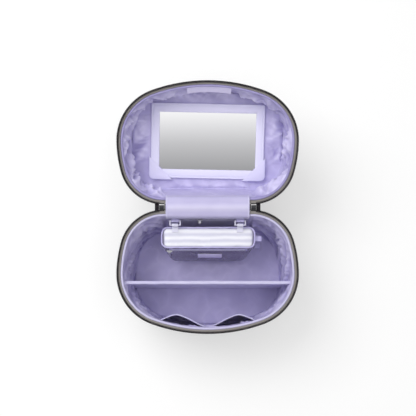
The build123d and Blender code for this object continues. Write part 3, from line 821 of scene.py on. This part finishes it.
# Corner pockets of the mirror: two triangles of doubled lilac cloth over the frame's lower corners.
# Each is sewn to the lid along its two outer edges and is open along its slanting one.
def fit(piece, material, slot, body, *replaced):
    """Turns a finished piece outwards, gives it its cloth and fixes it to a body."""
    outward(piece)
    # Pieces without folds get the painted fold shade's even middle value.
    if "fold" not in piece.data.attributes:
        even = piece.data.attributes.new("fold", "FLOAT", "POINT")
        for item in even.data:
            item.value = 0.68
    piece.data.materials.append(material)
    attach(piece, body)
    if replaced:
        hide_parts(*replaced)
    return piece


def joined(name, pieces):
    """Several pieces made one."""
    choose(*pieces)
    bpy.ops.object.join()
    pieces[0].name = pieces[0].data.name = name
    return pieces[0]


def corner_pocket(side):
    """One pocket, leg long each way, on the right for side 1 and on the left for -1."""
    out_x, out_y, leg, turn, over = 112.6, 75.4, 44.0, 9.0, 7.2
    lap = 0.75

    def rim(u):
        run = u * (2 * leg)
        if run < leg - turn:
            return out_x, out_y - leg + run
        if run > leg + turn:
            return out_x - (run - leg), out_y
        a = (run - leg + turn) / (2 * turn) * pi / 2
        return out_x - turn + turn * cos(a), out_y - turn + turn * sin(a)

    def place(u, v):
        edge_x, edge_y = rim(u)
        cut_x, cut_y = out_x - leg * u, out_y - leg * (1 - u)
        t = min(1.0, v / lap)
        x, y = cut_x + (edge_x - cut_x) * t, cut_y + (edge_y - cut_y) * t
        crown = 0.9 * sin(pi * t) * sin(pi * u)
        z = over + crown + 0.2 * wander(x / 8, y / 8, side)
        if v > lap:
            drop = (v - lap) / (1 - lap)
            z = over - (over + 0.1) * drop
            x, y = x + (x - cut_x) * 0.02 * drop, y + (y - cut_y) * 0.02 * drop
        return over_mirror(side * x, y, z)

    return cloth_grid("mirror_corner", 36, 16, place, thickness(1.1), soft_edge(0.0003, 1))


@surface
def pocket_nylon(wire, place):
    cloud = wire.noise(place, 20.0)
    colour = cloud.mix((0.64, 0.615, 0.85, 1), (0.73, 0.705, 0.91, 1))
    return {"Base Color": colour, "Roughness": 0.5, "Sheen Weight": 0.15,
            "Normal": wire.bump(nylon_weave(wire, place), 0.2, 0.0002)}


mirror_corners = joined("mirror_corner_pockets", [corner_pocket(-1), corner_pocket(1)])
fit(mirror_corners, pocket_nylon, "lining", "lid", "mirror_pockets")


# Mirror frame: lilac leatherette drawn over foam on the mirror's board.
# It is crowned between a stitched groove at its outer edge and the glass.
def rounded_section(width, height, corner, steps=3):
    """Corners of a rounded rectangle about its middle."""
    ring = []
    for sx, sy, start in ((1, 1, 0), (-1, 1, 90), (-1, -1, 180), (1, -1, 270)):
        for k in range(steps + 1):
            a = radians(start + 90 * k / steps)
            x = sx * (width / 2 - corner) + corner * cos(a)
            y = sy * (height / 2 - corner) + corner * sin(a)
            ring.append((x, y))
    return ring


def divided(loop, parts_of):
    """A closed loop, each side cut into the parts that parts_of says for its number and length."""
    dense = []
    for k, (x, y) in enumerate(loop):
        ox, oy = loop[(k + 1) % len(loop)]
        parts = parts_of(k, dist((x, y), (ox, oy)))
        dense += [(x + (ox - x) * i / parts, y + (oy - y) * i / parts) for i in range(parts)]
    return dense


# Each step is the share of the way in from the outer edge, and the height above the board's back.
frame_steps = [(0.02, 1.9), (0.0, 2.6), (0.0, 4.7), (0.05, 5.6), (0.14, 5.95), (0.19, 5.45), (0.24, 5.95)]
frame_steps += [(0.42, 6.25), (0.7, 6.25), (0.92, 5.9), (0.985, 5.3), (1.0, 4.4), (1.0, 3.75), (0.9, 3.7)]
frame_steps += [(0.88, 1.9), (0.02, 1.9)]
frame_width, frame_height, frame_corner, crown_z = 220.0, 146.0, 4.2, 5.9
frame_rows = []
for t, z in frame_steps:
    loop = rounded_section(frame_width - 33.0 * t, frame_height - 35.0 * t, frame_corner - 3.0 * t, 5)
    row = []
    for x, y in divided(loop, lambda k, gap: 24 if k % 6 == 5 else 1):
        wave = 0.18 * wander(x / 16, y / 16, 1.0) if z > crown_z else 0
        row.append(over_mirror(x, y, z + wave))
    frame_rows.append(row)
mirror_surround = merged(sweep("mirror_surround", frame_rows, caps=False))
fit(mirror_surround, leatherette, "leatherette", "mirror", "mirror_frame")


# Lid label: a flap of bare lilac satin, woven and cut to length.
# It is sewn in under the lid's front binding, with its lower edge free.
@surface
def label_satin(wire, place):
    floats = wire.noise(wire.stretch(place, (60.0, 1500.0, 1500.0)), 1.0, 2.0)
    colour = floats.mix((0.68, 0.63, 0.9, 1), (0.82, 0.78, 0.97, 1))
    return {"Base Color": colour, "Roughness": floats * 0.12 + 0.26,
            "Normal": wire.bump(floats, 0.15, 0.0001)}


front_round = front_corner + (half_width - front_corner) / sin(
    2 * atan2(front_reach - front_corner, half_width - front_corner))


def front_wall_y(x, inset):
    """Where the front wall stands across from x, at an inset from the outline."""
    return front_round - front_reach - sqrt((front_round - inset) ** 2 - x * x) + outline_shift


def lid_label_place(u, v):
    x = -44.0 + 82.0 * u
    y = front_wall_y(x, 11.0 + 11.6 * (1 - v) ** 0.9)
    sway = 0.5 * wander(x / 13, v * 2, 6.0) * (1 - v)
    return over_lid(x, y, 134.5 + 11.5 * v + sway)


lid_tab = cloth_grid("lid_label_satin", 60, 16, lid_label_place, thickness(0.5))
fit(lid_tab, label_satin, "label", "lid", "lid_label")


# Floor pad: a thin board wrapped in soft padding and lining cloth.
# It is cut to the outline inside the lining and laid loose on the base's floor.
def pad_rows():
    """Rows up the pad's edge and in over its top, each at an inset, a height and a share."""
    ring = outline(5.0)
    rows = []
    edge = [(23.6, 5.6, 1.0), (22.9, 6.6, 1.0), (23.1, 8.2, 1.0), (24.6, 9.0, 1.0)]
    top = [(27.0, 9.1, 1 - i / 16) for i in range(16)]
    for inset, z, shrink in edge + top:
        row = []
        for x, y, nx, ny in ring:
            px, py = (x - nx * inset) * shrink, (y - ny * inset) * shrink
            crease = 0.9 * fold(px * 0.8 + 300, py * 0.8, 21.0) - 0.5 if inset > 25 else 0.0
            row.append(over_base(px, py, z + crease))
        rows.append(row)
    return rows


floor_pad = fit(sweep("floor_pad_cloth", pad_rows()), lining_nylon, "lining", "base", "base_floor_pad")


# Divider: a padded board across the base, covered in lining cloth on both faces.
# Its top edge is rolled in lighter binding tape, and its ends are sewn to the side walls.
wall_face = 9.3
divider_y, divider_foot, divider_rise, divider_half = -20.0, 9.6, 120.0, 1.1


def inside_half(y, z, gap):
    """Half the room across the base between its side walls at y and z."""
    inset = wall_face + wall_lean * (rim_z - z) / rim_z + gap
    span = half_width - front_corner + sqrt((front_corner - inset) ** 2 - (y - outline_shift) ** 2)
    return span - max(0.0, 16.0 - z) * 0.5


def divider_row(z, bulge):
    """One row round both faces at z, puffed out by bulge in the middle."""
    half = inside_half(divider_y, z, 0.5)
    ring = []
    for side in (1, -1):
        for k in range(61):
            t = k / 60
            x = half * (2 * t - 1) * side
            puff = bulge * (1 - (x / half) ** 8) + 0.25 * wander(x / 18, z / 18, side)
            ring.append(over_base(x, divider_y - side * (divider_half + puff), z))
    return ring


divider_rows = []
for k in range(25):
    bulge = 1.25 * sin(pi * min(1, max(0.06, k / 24))) ** 0.5
    divider_rows.append(divider_row(divider_foot + divider_rise * k / 24, bulge))
divider = sweep("divider_pad", divider_rows)
fit(divider, lining_nylon, "lining", "base", "divider_panel")

roll_section = rounded_section(6.8, 4.6, 2.1)
roll_half = inside_half(divider_y, 132.5, 0.4)
roll_rows = []
for k in range(81):
    x = roll_half * (2 * k / 80 - 1)
    sway = 0.35 * wander(x / 22, 1.0, 4.0)
    roll_rows.append([over_base(x, divider_y + a * 0.93 + sway, 132.6 + b) for a, b in roll_section])
fit(sweep("divider_roll", roll_rows), binding_tape, "binding", "base", "divider_binding")


# Front pockets: one strip of cloth sewn to the front wall at its middle and ends.
# It stands out between them, so it makes two pockets.
# A hem of gathered elastic draws the two mouths in.
pocket_steps, pocket_foot, pocket_rise = 240, 9.8, 90.6
pocket_points = [(-98.0, -93.3), (-80.0, -84.6), (-60.0, -78.6), (-40.0, -84.6)]
pocket_points += [(-14.0, -97.6), (0.0, -101.2)]
pocket_points += [(-x, y) for x, y in reversed(pocket_points[:-1])]
pocket_run, pocket_length = smooth_line(pocket_points, pocket_steps)


def pocket_place(u, v):
    x, y = pocket_run[round(u * pocket_steps)]
    z = pocket_foot + pocket_rise * v
    slack = abs(sin(pi * u * 2))
    belly = 1.6 * slack * sin(pi * v) + 0.9 * v * v * wander(u * 60, v * 1.2, 2.0)
    lean_in = 0.067 * (pocket_foot + pocket_rise - z) * (1 - slack)
    return over_base(x, y + belly * 0.6 + lean_in, z)


front_cloth = cloth_grid("front_pocket_cloth", pocket_steps, 18, pocket_place, thickness(1.0))
fit(front_cloth, cover_nylon, "lining", "base", "front_pockets")
pocket_length / 1000


def elastic_place(u, v):
    x, y = pocket_run[round(u * pocket_steps)]
    pleat = 3.1
    gather = 0.45 * sin(u * pocket_length / pleat * 2 * pi) * (0.4 + 0.6 * sin(pi * v))
    return over_base(x, y + gather, 100.3 + 7.4 * v + 0.25 * gather)


elastic_run = cloth_grid("front_pocket_hem", pocket_steps, 6, elastic_place,
                         thickness(2.2), soft_edge(0.0007, 2))
fit(elastic_run, binding_tape, "elastic", "base", "front_pocket_elastic")


# Back wall pocket: a flat panel of lilac nylon sewn to the back wall's lining.
# It ends above in a closed nylon zip on its own woven tape.
def back_wall_y(z):
    """The inner face of the back wall's lining at z."""
    return back_y - wall_face - wall_lean * (rim_z - z) / rim_z


back_width = 155.0


def back_panel_place(u, v):
    x, z = back_width * (u - 0.5), 34.5 + 80.6 * v
    pucker = 0.6 * wander(x / 11, z / 30, 8.0) * sin(pi * v)
    return over_base(x, back_wall_y(z) - 1.4 + pucker, z)


back_panel = cloth_grid("back_pocket_cloth", 80, 30, back_panel_place, thickness(1.2))
fit(back_panel, cover_nylon, "lining", "base", "rear_pocket")


def back_tape_place(u, v):
    x, z = back_width * (u - 0.5), 115.8 + 12.4 * v
    return over_base(x, back_wall_y(z) - 0.65, z)


back_tape = cloth_grid("back_zip_tape", 80, 6, back_tape_place, thickness(0.8))
fit(back_tape, cover_nylon, "lining", "base", "rear_zip_tape")


@surface
def zip_nylon(wire, place):
    turns = wire.waves(place, 160.0, "X")
    # Painted shade: the grooves between the coil's turns are coloured dark, along the same stripes as the
    # bump.
    colour = turns.mix((0.2, 0.185, 0.3, 1), (0.62, 0.6, 0.78, 1))
    return {"Base Color": colour, "Roughness": 0.4, "Normal": wire.bump(turns, 0.9, 0.0006)}


clothe(zip_nylon, "rear_zip_teeth")


# Pull of the back zip: a tag of pale soft rubber moulded on a short neck.
# It hangs from the slider's bail.
@surface
def pull_rubber(wire, place):
    cloud = wire.noise(place, 300.0)
    colour = cloud.mix((0.7, 0.69, 0.74, 1), (0.82, 0.81, 0.85, 1))
    return {"Base Color": colour, "Roughness": cloud * 0.1 + 0.4}


clothe(pull_rubber, "rear_pull")


# Tabs: short lengths of lavender webbing, each folded round a ring's back bar.
# Both ends of a tab are sewn through the lining to the wall.
def tab_cloth(middle):
    """One tab, middle across the base, drawn round the ring's bar at eye_y."""
    eye_y, wall_y, level = 97.47, 105.4, 133.0
    steps, width = 36, 14.8
    points = [(wall_y - 0.9, level - 3.8), (wall_y - 1.6, level - 1.4), (eye_y + 2.6, level - 1.35)]
    points += [(eye_y, level - 2.1), (eye_y - 2.1, level), (eye_y, level + 2.1), (eye_y + 2.6, level + 1.35)]
    points += [(wall_y - 1.6, level + 1.4), (wall_y - 1.1, level + 3.8)]
    run = smooth_line(points, steps)[0]

    def place(u, v):
        y, z = run[round(v * steps)]
        return over_base(middle + width * (u - 0.5), y, z)

    return cloth_grid("tab_cloth", 10, steps, place, thickness(1.1), soft_edge(0.0003, 1))


@surface
def lavender_webbing(wire, place):
    rib = wire.waves(place, 240.0, "X")
    cloud = wire.noise(place, 60.0)
    colour = (rib * 0.5 + cloud * 0.5).mix((0.4, 0.365, 0.64, 1), (0.6, 0.57, 0.82, 1))
    return {"Base Color": colour, "Roughness": 0.6, "Normal": wire.bump(rib, 0.5, 0.0003)}


tab_x = 62.0
tabs = joined("pouch_tab_webbing", [tab_cloth(-tab_x), tab_cloth(tab_x)])
fit(tabs, lavender_webbing, "webbing", "base", "pouch_tabs")


# Pouch: soft clear film welded into a bag that is deeper at its foot, white across its top and painted dark
# below for the shade inside it.
# Lavender piping is sewn round the top, and it hangs from two hooks over the rings.
pouch_left, pouch_width = -89.6, 181.2
pouch_foot, pouch_top, pouch_taper = 37.6, 122.4, 0.2


def pouch_front_y(z):
    """Where the sloping front of the pouch's seams and fittings stands at z."""
    return 47.1 - 19.3 * (123.0 - z) / 86.0


def pouch_row(x, squeeze):
    """One slice of the bag at x, drawn in towards its middle by squeeze."""
    ring = []
    outer = [(87.2, pouch_foot), (28.6, pouch_foot), (47.7, pouch_top), (87.2, pouch_top)]
    middle_y, middle_z = 62.0, 80.0
    for k, (y, z) in enumerate(outer):
        ny, nz = outer[(k + 1) % 4]
        for i in range(14):
            t = i / 14
            py, pz = y + (ny - y) * t, z + (nz - z) * t
            corner = 1 - 0.05 * (2 * abs(t - 0.5)) ** 6
            crease = 1 + 0.024 * wander(x / 20, py / 14, pz / 16)
            sink = (1 - squeeze * 0.5) * corner * crease
            py, pz = middle_y + (py - middle_y) * sink, middle_z + (pz - middle_z) * sink
            taper = pouch_taper * (pouch_top - pz) / (pouch_top - pouch_foot) * (1 if pz < 110 else 0.3)
            ring.append(over_base(x * (1 - taper), min(87.4, py), max(37.2, min(122.8, pz))))
    return ring


pouch_rows = []
for k in range(61):
    t = k / 60
    end = min(t, 1 - t) * pouch_width
    pouch_rows.append(pouch_row(pouch_left + pouch_width * t, 0.34 * (1 - min(1, end / 13.0)) ** 2))
pouch_film = sweep("pouch_film", pouch_rows)
finish_with(pouch_film, ("SUBSURF", {"levels": 1, "render_levels": 1}))


@surface
def clear_film(wire, place):
    """Clear below, painted dark for the shade inside the bag, and white and less clear above, where the
    zip's band is.
    """
    high = wire.part(place, 2)
    top = wire.maths("SMOOTH_MIN", wire.maths("MAXIMUM", (high - 0.1185) * 400.0, 0.0), 1.0, 0.2)
    seams = wire.waves(place, 26.0, "Y", 1.6)
    cloud = wire.noise(place, 26.0, 4.0)
    white = seams.mix((0.64, 0.64, 0.76, 1), (0.86, 0.86, 0.92, 1))
    # Painted shade: the clear film's dark colour stands in for the shade inside the bag, seen through it.
    clear = cloud.mix((0.12, 0.105, 0.18, 1), (0.38, 0.35, 0.5, 1))
    return {"Base Color": top.mix(clear, white), "Roughness": cloud * 0.2 + 0.16, "Coat Weight": 0.4,
            "Alpha": top * 0.34 + 0.6, "Normal": wire.bump(cloud, 0.4, 0.002)}


fit(pouch_film, clear_film, "clear_film", "pouch", "pouch_body")


def piping_rows(z, radius):
    """A round cord that follows the pouch's top edge."""
    rows = []
    middle_x, middle_y, spacing = 1.0, 67.0, 4
    path = [(x + middle_x, y + middle_y) for x, y in rounded_section(178.0, 38.8, 12.0, 8)]
    dense = divided(path, lambda k, gap: max(1, round(gap / spacing)))
    turns = [pi * 2 * i / 8 for i in range(8)]
    count = len(dense)
    for k in range(count + 1):
        x, y = dense[k % count]
        ax, ay = dense[(k + 1) % count]
        bx, by = dense[(k - 1) % count]
        length = hypot(ax - bx, ay - by)
        nx, ny = (ay - by) / length, -(ax - bx) / length
        lift = 0.8 * wander(x / 14, y / 14, 3.0)
        sway = 1.1 * wander(x / 17, y / 17, 9.0)
        x, y = x - nx * abs(sway), y - ny * abs(sway)
        rows.append([])
        for a in turns:
            out, up = radius * cos(a), radius * sin(a)
            rows[-1].append(over_base(x + nx * out, y + ny * out, z + lift + up))
    return rows


pouch_cord = merged(sweep("pouch_piping_cord", piping_rows(122.3, 1.5), caps=False))
fit(pouch_cord, lavender_webbing, "webbing", "pouch", "pouch_piping")


# Zip and label on the pouch's sloping front: woven tape with a nylon coil, and a bare satin label.
# Both are sewn to the film.
def pouch_patch(name, x0, x1, low, high, out, thick, columns, material, slot, node):
    """A flat patch between x0 and x1, low and high, standing out from the front."""
    def place(u, v):
        z = low + (high - low) * v
        return over_base(x0 + (x1 - x0) * u, pouch_front_y(z) - out, z)

    fit(cloth_grid(name, columns, 4, place, thickness(thick)), material, slot, "pouch", node)


pouch_patch("pouch_zip_cloth", -74.0, 76.0, 108.2, 118.6, 0.7, 0.7, 60,
            lavender_webbing, "webbing", "pouch_zip_tape")
pouch_patch("pouch_zip_coil", -71.0, 73.0, 111.6, 115.4, 1.7, 1.1, 60,
            zip_nylon, "elastic", "pouch_zip_teeth")
pouch_patch("pouch_label_satin", -19.5, 27.5, 68.5, 91.5, 0.8, 0.5, 30, label_satin, "label", "pouch_label")


# Ribbon loops: two folded lengths of lavender ribbon.
# The ends of each are caught in the pouch's right seam.
def ribbon(z):
    """One loop, its middle at z."""
    steps, width, back = 28, 9.6, 87.8
    middle_y = (back + pouch_front_y(z)) / 2
    points = [(91.2, z - 2.9), (97.0, z - 3.4), (102.6, z - 2.4), (103.6, z), (102.6, z + 2.4)]
    run = smooth_line(points + [(97.0, z + 3.4), (91.2, z + 2.9)], steps)[0]

    def place(u, v):
        x, high = run[round(v * steps)]
        return over_base(x, middle_y + width * (u - 0.5), high)

    return cloth_grid("ribbon", 6, steps, place, thickness(0.9))


ribbons = joined("pouch_ribbons", [ribbon(111.0), ribbon(51.0)])
fit(ribbons, lavender_webbing, "webbing", "pouch", "pouch_loops")


# Handle: a padded strap in black grained leather, arched over the top of the lid.
# Its ends are held in two moulded mounts, each with a screw.
@surface
def handle_leather(wire, place):
    grain = wire.node("ShaderNodeTexVoronoi", {"Vector": place, "Scale": 420.0})
    cloud = wire.noise(place, 25.0)
    colour = cloud.mix((0.022, 0.02, 0.023, 1), (0.04, 0.037, 0.042, 1))
    return {"Base Color": colour, "Roughness": cloud * 0.12 + 0.42, "Normal": wire.bump(grain, 0.4, 0.0004)}


handle_steps, handle_width, handle_thickness, handle_corner = 64, 23.2, 6.4, 2.6
handle_points = [(-57.0, 71.2), (-49.0, 62.5), (-34.0, 54.2), (-16.0, 50.5), (0.0, 49.9)]
handle_points += [(-x, z) for x, z in reversed(handle_points[:-1])]
handle_run = smooth_line(handle_points, handle_steps)[0]
handle_rows = []
for k, (x, z) in enumerate(handle_run):
    ahead, behind = handle_run[min(handle_steps, k + 1)], handle_run[max(0, k - 1)]
    length = dist(ahead, behind)
    tx, tz = (ahead[0] - behind[0]) / length, (ahead[1] - behind[1]) / length
    fill = 0.82 + 0.18 * sin(pi * k / handle_steps) ** 0.6
    section = rounded_section(handle_width * fill, handle_thickness * fill, handle_corner * fill, 4)
    handle_rows.append([over_lid(x - tz * b, a, z + tx * b) for a, b in section])
handle_strap = fit(sweep("handle_strap", handle_rows), handle_leather, "handle", "lid", "handle_grip")
